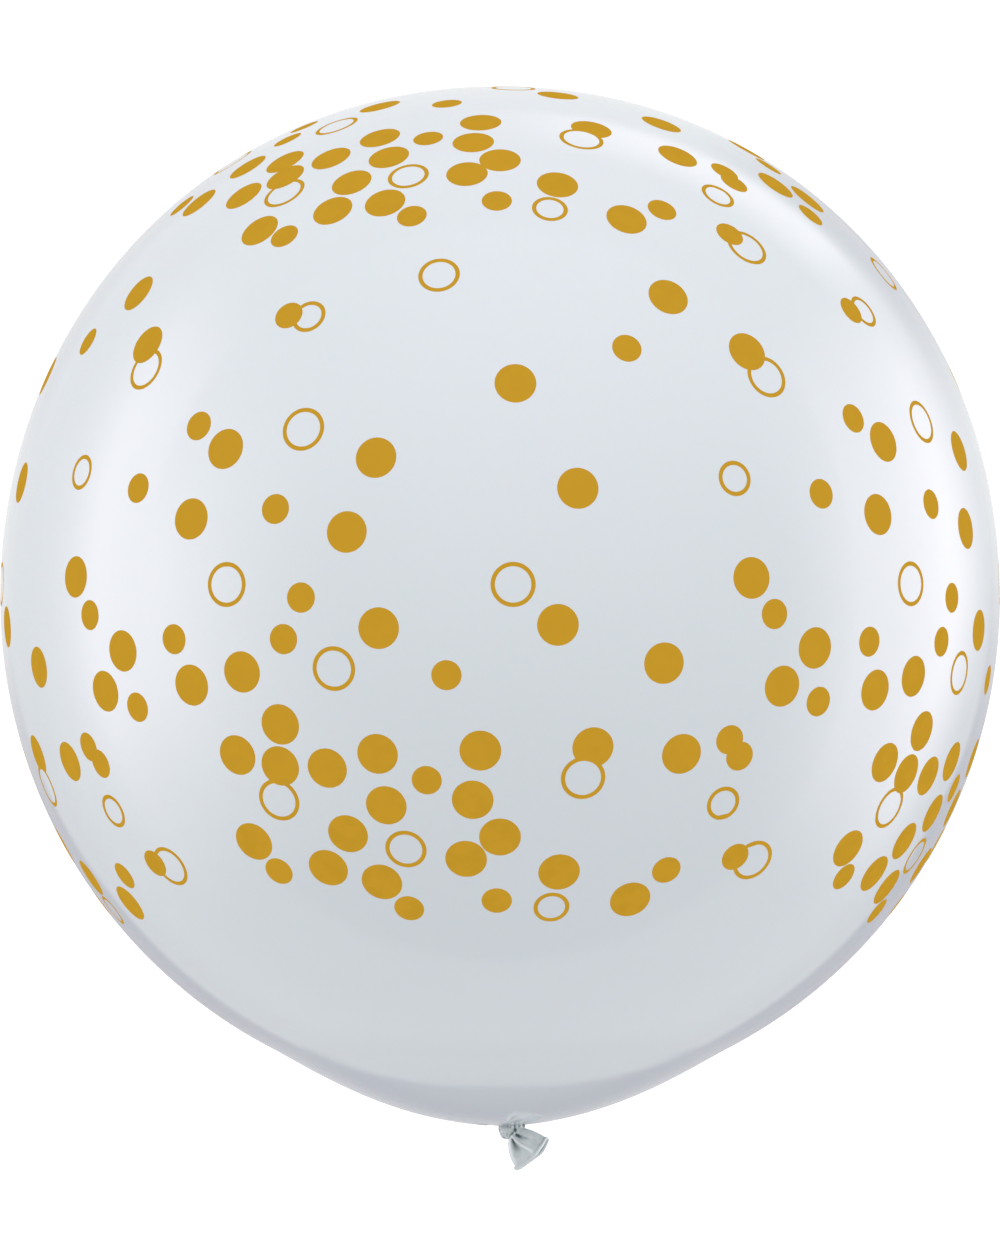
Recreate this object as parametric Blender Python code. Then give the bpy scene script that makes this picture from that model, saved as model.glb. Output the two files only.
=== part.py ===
"""Round latex balloon, inflated, knotted and lying on its side.

One solid: the body, the knot and the flattened tail with its rolled lip are
one piece of latex. The body's axis runs along Y, crown towards +Y and knot
towards -Y. The origin is the centre of the small flat spot that it lies on.
"""
import bmesh
import bpy
from math import cos, pi, radians, sin, sqrt
from mathutils import Matrix, Vector

# Body, in metres: distances along the axis start at the widest girth
GIRTH_DIAMETER = 0.914
CROWN_DEPTH = 0.468
BELLY_DEPTH = 0.4625
CROWN_FULLNESS = 2.05
NECK_SWELL_DIAMETER = 0.411
NECK_SWELL_DEPTH = 0.0192
NECK_SWELL_SHARPNESS = 1.5
FLAT_SPOT_DIAMETER = 0.120

# Knot: a bead of rolled neck that lies across the tail, fat on the side the tail leans from
KNOT_OFFSET = 0.0125
KNOT_LENGTH = 0.0245
KNOT_FAT_RADIUS = 0.0098
KNOT_THIN_RADIUS = 0.0046
KNOT_SINK = 0.0052
KNOT_TILT = radians(27.0)
KNOT_ROUNDNESS = 0.7
KNOT_WRINKLES = 6
KNOT_WRINKLE_DEPTH = 0.0006

# Tail: the flattened end of the neck, from the pinch to the rolled lip
PINCH_WIDTH = 0.0158
PINCH_THICKNESS = 0.0100
PINCH_DROP = 0.0072
PINCH_SHIFT = 0.0026
TAIL_LENGTH = 0.0257
TAIL_LEAN = radians(36.0)
TAIL_SKEW = 0.12
TAIL_FLARE = 0.85
MOUTH_WIDTH = 0.0380
MOUTH_GAP = 0.0018
MOUTH_RECESS = 0.0150
LIP_ROLL_DIAMETER = 0.0042
WALL_THICKNESS = 0.0012
FOLD_COUNT = 7
FOLD_DEPTH = 0.0017
FOLD_FADE = 1.2
NECK_STUB_LENGTH = 0.0120
NECK_STUB_INSET = 0.0025

# Fineness of the facets
GIRTH_SIDES = 72
CROWN_STEPS = 19
BELLY_STEPS = 20
KNOT_SIDES = 24
KNOT_STEPS = 12
TAIL_SIDES = 42
TAIL_STEPS = 8
LIP_STEPS = 6
RECESS_STEPS = 3
SMOOTH_ANGLE = radians(50.0)
MERGE_DISTANCE = 1e-6

GIRTH_RADIUS = GIRTH_DIAMETER / 2.0
AXIS_HEIGHT = sqrt(GIRTH_RADIUS**2 - (FLAT_SPOT_DIAMETER / 2.0) ** 2)
KNOT_END = BELLY_DEPTH + NECK_SWELL_DEPTH


def clear_scene():
    for thing in list(bpy.data.objects):
        bpy.data.objects.remove(thing, do_unlink=True)


def latex_material():
    """Pale pearl grey latex."""
    material = bpy.data.materials.new("latex")
    material.use_nodes = True
    shader = material.node_tree.nodes["Principled BSDF"]
    shader.inputs["Base Color"].default_value = (0.66, 0.69, 0.73, 1.0)
    shader.inputs["Roughness"].default_value = 0.32
    shader.inputs["Metallic"].default_value = 0.0
    return material


def add_object(name, mesh_builder, material):
    """Turns a finished bmesh into a smooth shaded object and returns it."""
    bmesh.ops.remove_doubles(mesh_builder, verts=mesh_builder.verts, dist=MERGE_DISTANCE)
    bmesh.ops.recalc_face_normals(mesh_builder, faces=mesh_builder.faces)
    mesh = bpy.data.meshes.new(name)
    mesh_builder.to_mesh(mesh)
    mesh_builder.free()
    mesh.shade_smooth()
    mesh.set_sharp_from_angle(angle=SMOOTH_ANGLE)
    mesh.materials.append(material)
    thing = bpy.data.objects.new(name, mesh)
    bpy.context.scene.collection.objects.link(thing)
    return thing


def mix(first, last, share):
    return first + (last - first) * share


def pinch_centre():
    """Where the neck is tied off, just past the end of the body."""
    return Vector((KNOT_OFFSET + PINCH_SHIFT, -KNOT_END - PINCH_DROP, AXIS_HEIGHT))


def loft(rings):
    """Joins rings of points by bands of faces and closes both ends with a fan."""
    mesh_builder = bmesh.new()
    loops = [[mesh_builder.verts.new(point) for point in ring] for ring in rings]
    for near, far in zip(loops, loops[1:]):
        for index in range(len(near)):
            following = (index + 1) % len(near)
            mesh_builder.faces.new((near[index], near[following], far[following], far[index]))
    for ring in (loops[0], loops[-1]):
        cap = mesh_builder.faces.new(ring)
        bmesh.ops.poke(mesh_builder, faces=[cap])
    return mesh_builder


def body_profile():
    """Points (radius, y) from the crown's pole over the girth to the neck's pole."""
    points = []
    for step in range(CROWN_STEPS):
        turn = pi / 2.0 * (1.0 - step / CROWN_STEPS)
        radius = GIRTH_RADIUS * max(cos(turn), 0.0) ** (2.0 / CROWN_FULLNESS)
        points.append((radius, CROWN_DEPTH * sin(turn) ** (2.0 / CROWN_FULLNESS)))
    for step in range(BELLY_STEPS + 1):
        turn = pi / 2.0 * step / BELLY_STEPS
        radius = GIRTH_RADIUS * cos(turn)
        inside = max(1.0 - (2.0 * radius / NECK_SWELL_DIAMETER) ** 2, 0.0)
        points.append((radius, -BELLY_DEPTH * sin(turn) - NECK_SWELL_DEPTH * inside**NECK_SWELL_SHARPNESS))
    return points


def build_body(material):
    """Turned body with the flat spot cut level at its lowest side."""
    mesh_builder = bmesh.new()
    profile = [mesh_builder.verts.new((radius, y, AXIS_HEIGHT)) for radius, y in body_profile()]
    outline = [mesh_builder.edges.new(pair) for pair in zip(profile, profile[1:])]
    bmesh.ops.spin(
        mesh_builder,
        geom=profile + outline,
        cent=(0.0, 0.0, AXIS_HEIGHT),
        axis=(0.0, 1.0, 0.0),
        angle=2.0 * pi,
        steps=GIRTH_SIDES,
        use_merge=True,
    )
    bmesh.ops.remove_doubles(mesh_builder, verts=mesh_builder.verts, dist=MERGE_DISTANCE)
    whole = mesh_builder.verts[:] + mesh_builder.edges[:] + mesh_builder.faces[:]
    cut = bmesh.ops.bisect_plane(
        mesh_builder, geom=whole, plane_co=(0.0, 0.0, 0.0), plane_no=(0.0, 0.0, -1.0), clear_outer=True
    )
    rim = [item for item in cut["geom_cut"] if isinstance(item, bmesh.types.BMEdge)]
    bmesh.ops.contextual_create(mesh_builder, geom=rim)
    return add_object("balloon", mesh_builder, material)


def build_knot(material):
    """Pear-shaped bead across the pinched neck, fattest at its -X end, with shallow wrinkles."""
    place = Matrix.Translation(pinch_centre()) @ Matrix.Rotation(KNOT_TILT, 4, "Z")
    rings = []
    for step in range(1, KNOT_STEPS):
        turn = pi * step / KNOT_STEPS
        across = -KNOT_LENGTH / 2.0 * cos(turn)
        share = (1.0 - cos(turn)) / 2.0
        radius = mix(KNOT_FAT_RADIUS, KNOT_THIN_RADIUS, share) * sin(turn) ** KNOT_ROUNDNESS
        ring = []
        for side in range(KNOT_SIDES):
            around = 2.0 * pi * side / KNOT_SIDES
            reach = radius + KNOT_WRINKLE_DEPTH * sin(turn) * cos(KNOT_WRINKLES * around)
            ring.append(place @ Vector((across, KNOT_SINK + reach * cos(around), reach * sin(around))))
        rings.append(ring)
    return add_object("knot", loft(rings), material)


def skirt_ring(along, outward, fold):
    """Points of the tail's flattened cross-section, at a distance along it from the pinch."""
    share = min(max(along, 0.0) / TAIL_LENGTH, 1.0)
    half_width = mix(PINCH_WIDTH, MOUTH_WIDTH, sin(pi / 2.0 * share) ** TAIL_FLARE) / 2.0
    half_thickness = mix(PINCH_THICKNESS, MOUTH_GAP + LIP_ROLL_DIAMETER, share) / 2.0
    points = []
    for side in range(TAIL_SIDES):
        turn = 2.0 * pi * side / TAIL_SIDES
        across = half_width * cos(turn)
        deep = half_thickness * sin(turn)
        normal = Vector((half_thickness * cos(turn), 0.0, half_width * sin(turn))).normalized()
        push = outward + fold * cos(FOLD_COUNT * turn)
        shift = TAIL_SKEW * share * across - along
        points.append(Vector((across, shift, deep)) + normal * push)
    return points


def tail_rings():
    """Rings from the stub inside the body, down the outside, over the lip and up the inside."""
    lip_radius = LIP_ROLL_DIAMETER / 2.0
    rings = [skirt_ring(-NECK_STUB_LENGTH, -NECK_STUB_INSET, 0.0)]
    for step in range(TAIL_STEPS):
        share = step / (TAIL_STEPS - 1)
        along = share * (TAIL_LENGTH - lip_radius)
        rings.append(skirt_ring(along, 0.0, FOLD_DEPTH * (1.0 - share) ** FOLD_FADE))
    for step in range(LIP_STEPS + 1):
        turn = pi * step / LIP_STEPS
        rings.append(skirt_ring(TAIL_LENGTH + lip_radius * sin(turn), lip_radius * cos(turn), 0.0))
    for step in range(1, RECESS_STEPS + 1):
        along = TAIL_LENGTH - MOUTH_RECESS * step / RECESS_STEPS
        rings.append(skirt_ring(along, -WALL_THICKNESS, 0.0))
    return rings


def build_tail(material):
    """Flattened skirt that leans towards +X, open at a shallow mouth inside the rolled lip."""
    place = Matrix.Translation(pinch_centre()) @ Matrix.Rotation(TAIL_LEAN, 4, "Z")
    rings = [[place @ point for point in ring] for ring in tail_rings()]
    return add_object("tail", loft(rings), material)


def unite(target, addition):
    """Fuses one closed shape into another, because both are the same piece of latex."""
    joint = target.modifiers.new(f"{addition.name} union", "BOOLEAN")
    joint.operation = "UNION"
    joint.solver = "EXACT"
    joint.object = addition
    addition.hide_render = True
    addition.display_type = "WIRE"


def main():
    clear_scene()
    latex = latex_material()
    balloon = build_body(latex)
    unite(balloon, build_knot(latex))
    unite(balloon, build_tail(latex))


main()
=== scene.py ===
"""Confetti balloon: a big round latex balloon, printed all round and lying on its side.

The body's axis runs along Y, from the knot at -Y to the crown at +Y, and the
balloon lies on a small flat spot at the origin. Run as a script, this file makes
the skin with its print, the knot, the tail and a plain studio around the frame.
"""

from math import asin, atan2, copysign, cos, exp, hypot, pi, radians, sin, sqrt

import bmesh
import bpy
from mathutils import Matrix, Vector, noise
from mathutils.kdtree import KDTree


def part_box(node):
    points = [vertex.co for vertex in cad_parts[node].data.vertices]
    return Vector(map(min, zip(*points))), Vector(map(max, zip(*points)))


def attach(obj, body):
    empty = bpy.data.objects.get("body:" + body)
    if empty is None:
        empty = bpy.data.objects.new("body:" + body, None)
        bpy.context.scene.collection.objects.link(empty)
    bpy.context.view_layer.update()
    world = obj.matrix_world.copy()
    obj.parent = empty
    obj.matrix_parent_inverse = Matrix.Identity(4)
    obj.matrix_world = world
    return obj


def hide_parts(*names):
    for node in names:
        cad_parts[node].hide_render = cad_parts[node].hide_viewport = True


bl_info = {
    "name": "Confetti Balloon",
    "version": (1, 0, 0),
    "blender": (4, 5, 0),
    "location": "3D View > Sidebar > Balloon",
    "description": "Makes a printed latex balloon that lies on its side, with its knot and tail",
    "category": "Add Mesh",
}

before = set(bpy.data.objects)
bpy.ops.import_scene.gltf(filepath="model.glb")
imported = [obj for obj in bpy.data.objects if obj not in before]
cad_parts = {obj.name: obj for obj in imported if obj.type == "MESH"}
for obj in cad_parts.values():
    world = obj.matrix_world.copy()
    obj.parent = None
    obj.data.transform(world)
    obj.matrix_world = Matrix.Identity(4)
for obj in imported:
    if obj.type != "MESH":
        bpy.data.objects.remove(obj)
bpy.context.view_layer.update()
NODE = "balloon"
BODY = "root"
LOW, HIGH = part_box(NODE)
GIRTH_DIAMETER = HIGH.x - LOW.x

# The picture: its size and the middle of the widest girth in it, in pixels
PICTURE_WIDTH = 1000
PICTURE_HEIGHT = 1260
GIRTH_MIDDLE = (500, 598)
METRES_PER_PIXEL = GIRTH_DIAMETER / PICTURE_WIDTH
SENSOR_WIDTH = 36.0

# How bright the white floor is, all light together, as a multiple of its own paleness
FLOOR_LIGHT = 1.39

# The print: places of the dots and rings in millimetres, seen face-on from the middle of a
# panel, x to the right and y towards the crown
BIG_DOTS = (
    (152, 275), (224, 225), (14, 196), (-250, 136), (-113, 128), (-282, 72), (-140, 60),
    (71, 100), (-111, -28), (-236, -68), (-282, -80), (53, -25), (150, -60), (230, 18),
    (288, -46), (258, -81), (-201, -116), (-240, -144), (-201, -154), (-158, -156),
    (-112, -143), (-104, -190), (-139, -216), (-157, -247), (-225, -223), (-108, -260),
    (-18, -140), (-25, -185), (0, -219), (-31, -239), (54, -251), (85, -137), (166, -143),
    (119, -276),
)  # fmt: skip
SMALL_DOTS = (
    (-191, 258), (115, 228), (-274, 157), (-205, 81), (293, 95), (-182, 0), (-198, -38),
    (-298, -38), (-49, -71), (251, -15), (291, -95), (-67, -167), (-202, -250), (-83, -284),
    (-3, -277), (210, -130), (219, -145), (215, -237), (152, -249),
)  # fmt: skip
LARGE_RINGS = (
    (242, 202), (-179, 154), (-250, 12), (-152, -65), (12, 12), (-202, -185), (231, -240),
)  # fmt: skip
MEDIUM_RINGS = ((-55, 295), (-86, -230))
SMALL_RINGS = ((-173, 257), (214, 109), (204, -188), (47, -283))
RINGS_OVER_DOTS = ((76, -165),)

# The panels of the print: how far each is turned from the one that faces up, its squeeze across
# and its stretch along the axis, and how much those two grow with the square of the latitude
SIDE_PANELS = (
    (0.0, (1.0, 1.0, 0.0, 0.0)),
    (87.3, (0.964, 1.060, 0.12, -0.115)),
    (176.0, (1.0, 1.0, 0.0, 0.0)),
    (272.7, (0.964, 1.060, 0.12, -0.115)),
)
CROWN_TILT = 83.7
CROWN_WARP = (0.948, 0.867, -0.098, 0.065)
MILLIMETRE = 0.001
OUTLINE_SLACK = 0.0003
LARGEST_FACE = 0.02
PUNCH_ROLL = 0.05
PUNCH_TRIES = 8


class BalloonShape(bpy.types.PropertyGroup):
    """Sizes of the inflated body, along its axis from the widest girth."""

    girth: bpy.props.FloatProperty(
        name="Girth", description="Diameter at the widest place", default=GIRTH_DIAMETER, unit="LENGTH"
    )
    axis_height: bpy.props.FloatProperty(
        name="Axis Height",
        description="Height of the body's axis over the floor",
        default=HIGH.z - GIRTH_DIAMETER / 2.0,
        unit="LENGTH",
    )
    crown_depth: bpy.props.FloatProperty(
        name="Crown Depth", description="From the girth to the crown", default=HIGH.y, unit="LENGTH"
    )
    crown_fullness: bpy.props.FloatProperty(
        name="Crown Fullness", description="Power of the crown's round, 2 for an ellipse", default=2.05
    )
    belly_depth: bpy.props.FloatProperty(
        name="Belly Depth",
        description="From the girth to the neck, without the swelling there",
        default=0.4625,
        unit="LENGTH",
    )
    swell_diameter: bpy.props.FloatProperty(
        name="Swelling Diameter", description="Width of the swelling at the neck", default=0.411, unit="LENGTH"
    )
    swell_depth: bpy.props.FloatProperty(
        name="Swelling Depth", description="How far the neck's swelling stands out", default=0.0192, unit="LENGTH"
    )
    pleat_reach: bpy.props.FloatProperty(
        name="Pleat Reach", description="How far the pleats run out from the knot", default=0.085, unit="LENGTH"
    )
    pleat_depth: bpy.props.FloatProperty(
        name="Pleat Depth", description="Height of the pleats at the knot", default=0.0009, unit="LENGTH"
    )
    pleats: bpy.props.IntProperty(name="Pleats", description="Number of pleats round the knot", default=17)
    cuts: bpy.props.IntProperty(
        name="Cuts", description="Cuts of the starting cube on each side", default=55, min=8
    )


class BalloonPrint(bpy.types.PropertyGroup):
    """Sizes of the printed dots and rings."""

    big_dot: bpy.props.FloatProperty(
        name="Big Dot", description="Diameter of a big dot", default=0.0378, unit="LENGTH"
    )
    small_dot: bpy.props.FloatProperty(
        name="Small Dot", description="Diameter of a small dot", default=0.0275, unit="LENGTH"
    )
    large_ring: bpy.props.FloatProperty(
        name="Large Ring", description="Outer diameter of a large ring", default=0.0408, unit="LENGTH"
    )
    medium_ring: bpy.props.FloatProperty(
        name="Medium Ring", description="Outer diameter of a medium ring", default=0.0380, unit="LENGTH"
    )
    small_ring: bpy.props.FloatProperty(
        name="Small Ring", description="Outer diameter of a small ring", default=0.0328, unit="LENGTH"
    )
    line: bpy.props.FloatProperty(
        name="Line", description="Width of a ring's line", default=0.0040, unit="LENGTH"
    )
    sides: bpy.props.IntProperty(name="Sides", description="Straight sides of each outline", default=52, min=12)


class BalloonTail(bpy.types.PropertyGroup):
    """Sizes of the knot and of the flattened tail behind it."""

    knot_offset: bpy.props.FloatProperty(
        name="Knot Offset", description="From the body's axis to the knot", default=0.0125, unit="LENGTH"
    )
    knot_length: bpy.props.FloatProperty(
        name="Knot Length", description="Length of the knot's bead", default=0.0247, unit="LENGTH"
    )
    knot_fat: bpy.props.FloatProperty(
        name="Knot Fat Radius", description="Radius at the bead's fat end", default=0.0110, unit="LENGTH"
    )
    knot_thin: bpy.props.FloatProperty(
        name="Knot Thin Radius", description="Radius at the bead's thin end", default=0.0046, unit="LENGTH"
    )
    knot_sink: bpy.props.FloatProperty(
        name="Knot Sink", description="From the pinch to the bead's middle", default=0.0052, unit="LENGTH"
    )
    knot_shift: bpy.props.FloatProperty(
        name="Knot Shift", description="From the pinch to the bead's middle, across", default=-0.0028, unit="LENGTH"
    )
    knot_tilt: bpy.props.FloatProperty(
        name="Knot Tilt", description="Turn of the bead about Z", default=radians(15.0), subtype="ANGLE"
    )
    pinch_drop: bpy.props.FloatProperty(
        name="Pinch Drop", description="From the body's end to the pinch", default=0.0072, unit="LENGTH"
    )
    pinch_shift: bpy.props.FloatProperty(
        name="Pinch Shift", description="From the knot's middle to the pinch", default=0.0026, unit="LENGTH"
    )
    pinch_width: bpy.props.FloatProperty(
        name="Pinch Width", description="Width of the tail at the pinch", default=0.0158, unit="LENGTH"
    )
    pinch_thickness: bpy.props.FloatProperty(
        name="Pinch Thickness", description="Thickness of the tail at the pinch", default=0.0100, unit="LENGTH"
    )
    length: bpy.props.FloatProperty(
        name="Length", description="From the pinch to the middle of the lip's roll", default=0.0272, unit="LENGTH"
    )
    lean: bpy.props.FloatProperty(
        name="Lean", description="Turn of the tail about Z", default=radians(36.0), subtype="ANGLE"
    )
    corner_drop: bpy.props.FloatProperty(
        name="Corner Drop", description="How far the lip falls back at its right end", default=0.0060, unit="LENGTH"
    )
    flare: bpy.props.FloatProperty(
        name="Flare", description="Power of the tail's widening, lower is earlier", default=0.85
    )
    mouth_width: bpy.props.FloatProperty(
        name="Mouth Width", description="Width between the roll's middles", default=0.0380, unit="LENGTH"
    )
    mouth_gap: bpy.props.FloatProperty(
        name="Mouth Gap", description="Clear opening of the flattened mouth", default=0.0018, unit="LENGTH"
    )
    left_fullness: bpy.props.FloatProperty(
        name="Left Fullness", description="How far the left edge bulges out", default=0.0013, unit="LENGTH"
    )
    mouth_step: bpy.props.FloatProperty(
        name="Mouth Step", description="How far the upper lip stands back", default=0.0032, unit="LENGTH"
    )
    roll: bpy.props.FloatProperty(
        name="Roll", description="Diameter of the rolled lip", default=0.0042, unit="LENGTH"
    )
    wall: bpy.props.FloatProperty(
        name="Wall", description="Thickness of the tail's wall", default=0.0007, unit="LENGTH"
    )
    recess: bpy.props.FloatProperty(
        name="Recess", description="How deep the mouth goes in", default=0.0180, unit="LENGTH"
    )


class BalloonFinish(bpy.types.PropertyGroup):
    """Colours of the latex and of the ink, and the painted shade and highlight of the folds."""

    crown_latex: bpy.props.FloatVectorProperty(
        name="Crown Latex", description="Latex at the crown", default=(0.652, 0.688, 0.733), subtype="COLOR"
    )
    # The neck's latex is a touch darker than the crown's: painted shade towards the neck.
    neck_latex_shaded: bpy.props.FloatVectorProperty(
        name="Neck Latex", description="Latex at the neck", default=(0.638, 0.684, 0.729), subtype="COLOR"
    )
    tail_latex: bpy.props.FloatVectorProperty(
        name="Tail Latex", description="Slack latex of the tail", default=(0.48, 0.52, 0.535), subtype="COLOR"
    )
    # Painted shade: the colour of the fold valleys, the knot's pit and seam, the crease and the inside of the mouth.
    fold_painted_shade: bpy.props.FloatVectorProperty(
        name="Fold Valley", description="Latex deep in a fold", default=(0.015, 0.060, 0.066), subtype="COLOR"
    )
    # Painted highlight: the colour of the folds' backs, the lip's roll and the knot's lumps.
    fold_painted_highlight: bpy.props.FloatVectorProperty(
        name="Fold Back", description="Latex on the back of a fold", default=(0.80, 0.83, 0.86), subtype="COLOR"
    )
    ink: bpy.props.FloatVectorProperty(
        name="Ink", description="Printed gold ink", default=(0.578, 0.319, 0.025), subtype="COLOR"
    )


class BalloonStudio(bpy.types.PropertyGroup):
    """Floor, lights and camera."""

    floor: bpy.props.FloatProperty(
        name="Floor", description="Side of the square floor", default=160.0, unit="LENGTH"
    )
    floor_glow: bpy.props.FloatProperty(
        name="Floor Glow", description="How bright the floor is of itself", default=0.42
    )
    backdrop: bpy.props.FloatProperty(
        name="Backdrop", description="Grey that the camera sees far behind the balloon", default=0.76
    )
    bounce: bpy.props.FloatProperty(
        name="Bounce", description="Grey of the board that lights the underside", default=0.88
    )
    bounce_glow: bpy.props.FloatProperty(
        name="Bounce Glow", description="How bright that board is of itself", default=0.26
    )
    sky: bpy.props.FloatProperty(name="Sky", description="Strength of the light from all round", default=0.97)
    sky_lean: bpy.props.FloatProperty(
        name="Sky Lean", description="How much brighter the sky is towards the crown", default=0.315
    )
    sun: bpy.props.FloatProperty(name="Sun", description="Strength of the light from above", default=0.15)
    card: bpy.props.FloatProperty(
        name="Card", description="Brightness of the board that the gloss shows", default=0.92
    )
    left_glow: bpy.props.FloatProperty(
        name="Left Glow", description="Brightness of the field on the left", default=1.70
    )
    right_glow: bpy.props.FloatProperty(
        name="Right Glow", description="Brightness of the field on the right", default=1.6
    )
    arc_glow: bpy.props.FloatProperty(
        name="Arc Glow", description="Brightness of the field at the crown's right", default=0.68
    )
    neck_shade: bpy.props.FloatProperty(
        name="Neck Shade", description="How much darker the board is under the neck", default=0.72
    )
    lens: bpy.props.FloatProperty(name="Lens", description="The camera's lens in millimetres", default=1000.0)


def select_only(thing):
    """Makes one object the selected and active one."""
    bpy.ops.object.select_all(action="DESELECT")
    thing.select_set(True)
    bpy.context.view_layer.objects.active = thing


def add_primitive(operator, name, **sizes):
    """Adds a primitive with nothing else selected and returns it under its name."""
    bpy.ops.object.select_all(action="DESELECT")
    if operator(**sizes) != {"FINISHED"}:
        raise RuntimeError(f"no start for {name}")
    thing = bpy.context.object
    thing.name = name
    thing.data.name = name
    return thing


def edit(thing, *steps):
    """Runs edit-mode steps on one object, each a function without arguments."""
    select_only(thing)
    bpy.ops.object.mode_set(mode="EDIT")
    for step in steps:
        step()
    bpy.ops.object.mode_set(mode="OBJECT")


def select_faces(thing, wanted):
    """Selects the faces for which wanted(face) is true, and nothing else."""
    mesh = bmesh.new()
    mesh.from_mesh(thing.data)
    for face in mesh.faces:
        face.select_set(False)
    for face in mesh.faces:
        if wanted(face):
            face.select_set(True)
    mesh.to_mesh(thing.data)
    mesh.free()


def apply_modifier(thing, modifier):
    select_only(thing)
    bpy.ops.object.modifier_apply(modifier=modifier.name)


def mix(first, last, share):
    return first + (last - first) * share


def ride_and_replace(piece):
    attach(piece, BODY)
    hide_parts(NODE)


def axial_place(radius, towards_crown, shape):
    """Place along the axis of the skin at a radius, on the crown's or on the neck's half."""
    share = min(2.0 * radius / shape.girth, 1.0)
    if towards_crown:
        return shape.crown_depth * (1.0 - share**shape.crown_fullness) ** (1.0 / shape.crown_fullness)
    inside = max(1.0 - (2.0 * radius / shape.swell_diameter) ** 2, 0.0)
    return -shape.belly_depth * sqrt(1.0 - share**2) - shape.swell_depth * inside**1.5


def skin_radius(along, shape):
    """Radius of the skin at a place along the axis, away from the neck's swelling."""
    if along >= 0.0:
        share = min(along / shape.crown_depth, 1.0)
        return shape.girth / 2.0 * (1.0 - share**shape.crown_fullness) ** (1.0 / shape.crown_fullness)
    return shape.girth / 2.0 * sqrt(max(1.0 - (along / shape.belly_depth) ** 2, 0.0))


def on_skin(point, shape):
    """Nearest easy place on the smooth skin: along the axis near the poles, else across it."""
    across = Vector((point.x, 0.0, point.z - shape.axis_height))
    radius = across.length
    if radius < 0.35 * shape.girth:
        along = axial_place(radius, point.y > 0.0, shape)
    else:
        along = point.y
        across *= skin_radius(along, shape) / radius
    return Vector((across.x, along, shape.axis_height + across.z))


def pleat_lift(point, shape):
    """How far the pleats round the knot lift the skin, fading out from the knot."""
    radius = hypot(point.x, point.z - shape.axis_height)
    if point.y > 0.0 or radius > shape.pleat_reach:
        return 0.0
    turn = atan2(point.z - shape.axis_height, point.x)
    fade = (1.0 - radius / shape.pleat_reach) ** 2 * min(radius / (0.1 * shape.pleat_reach), 1.0)
    wave = cos(shape.pleats * turn + 1.3 * sin(3.0 * turn)) + 0.5 * cos(7.0 * turn + 0.8)
    return shape.pleat_depth * fade * wave


def add_quad_ball(shape):
    """A cube cut into small squares, pulled out to a ball and shaped to the balloon's outline."""
    ball = add_primitive(
        bpy.ops.mesh.primitive_cube_add,
        "balloon_skin",
        size=shape.girth / sqrt(3.0),
        location=(0.0, 0.0, shape.axis_height),
    )
    edit(
        ball,
        lambda: bpy.ops.mesh.subdivide(number_cuts=shape.cuts),
        lambda: bpy.ops.transform.tosphere(value=1.0),
    )
    bpy.ops.object.transform_apply(location=True, rotation=True, scale=True)
    for vertex in ball.data.vertices:
        out = (vertex.co - Vector((0.0, 0.0, shape.axis_height))).normalized()
        depth = shape.crown_depth if out.y > 0.0 else shape.belly_depth
        start = Vector((out.x * shape.girth / 2.0, out.y * depth, out.z * shape.girth / 2.0))
        vertex.co = on_skin(start + Vector((0.0, 0.0, shape.axis_height)), shape)
    return ball


def pleat_neck(ball, shape):
    """Makes the mesh finer round the knot and lifts the pleats there."""

    def near_knot(face):
        middle = face.calc_center_median()
        return middle.y < 0.0 and hypot(middle.x, middle.z - shape.axis_height) < shape.pleat_reach

    select_faces(ball, near_knot)
    edit(ball, lambda: bpy.ops.mesh.subdivide(number_cuts=3))
    for vertex in ball.data.vertices:
        if vertex.co.y < 0.0 and hypot(vertex.co.x, vertex.co.z - shape.axis_height) < shape.pleat_reach:
            vertex.co = on_skin(vertex.co, shape)
            vertex.co.y -= pleat_lift(vertex.co, shape)


def face_on_direction(x, y, warp, shape):
    """Direction of a place that is given face-on, with its panel warped."""
    squeeze, stretch, squeeze_growth, stretch_growth = warp
    depth = shape.crown_depth if y > 0.0 else shape.belly_depth
    latitude = asin(y * MILLIMETRE / depth)
    longitude = asin(x * MILLIMETRE / (shape.girth / 2.0) / cos(latitude))
    around = longitude * (squeeze + squeeze_growth * latitude**2)
    lift = latitude * (stretch + stretch_growth * latitude**2)
    return Vector((sin(around) * cos(lift), sin(lift), cos(around) * cos(lift)))


def mark_centre(out, shape):
    """Place of a mark on the skin, in a direction that is never straight along the axis."""
    along = out.y * (shape.crown_depth if out.y > 0.0 else shape.belly_depth)
    across = Vector((out.x, 0.0, out.z)).normalized() * skin_radius(along, shape)
    return across + Vector((0.0, along, shape.axis_height))


def camera_distance(lens):
    """How far the camera stands over the body's axis, with the whole picture at the girth's scale."""
    return PICTURE_HEIGHT * METRES_PER_PIXEL * lens / SENSOR_WIDTH


def seen_from_above(centre, shape, distance):
    """Pulls a place on the upper half in by as much as the camera, not endlessly far, spreads it."""
    height = centre.z - shape.axis_height
    if height <= 0.0:
        return centre
    x, y = (place * (1.0 - height / distance) for place in centre.xy)
    return Vector((x, y, shape.axis_height + sqrt(max(skin_radius(y, shape) ** 2 - x**2, 0.0))))


def panel_placers():
    """For each panel, its warp and the turn that carries it round the body."""
    panels = [(warp, Matrix.Rotation(radians(turn), 3, "Y")) for turn, warp in SIDE_PANELS]
    panels.append((CROWN_WARP, Matrix.Rotation(radians(-CROWN_TILT), 3, "X")))
    return panels


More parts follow.
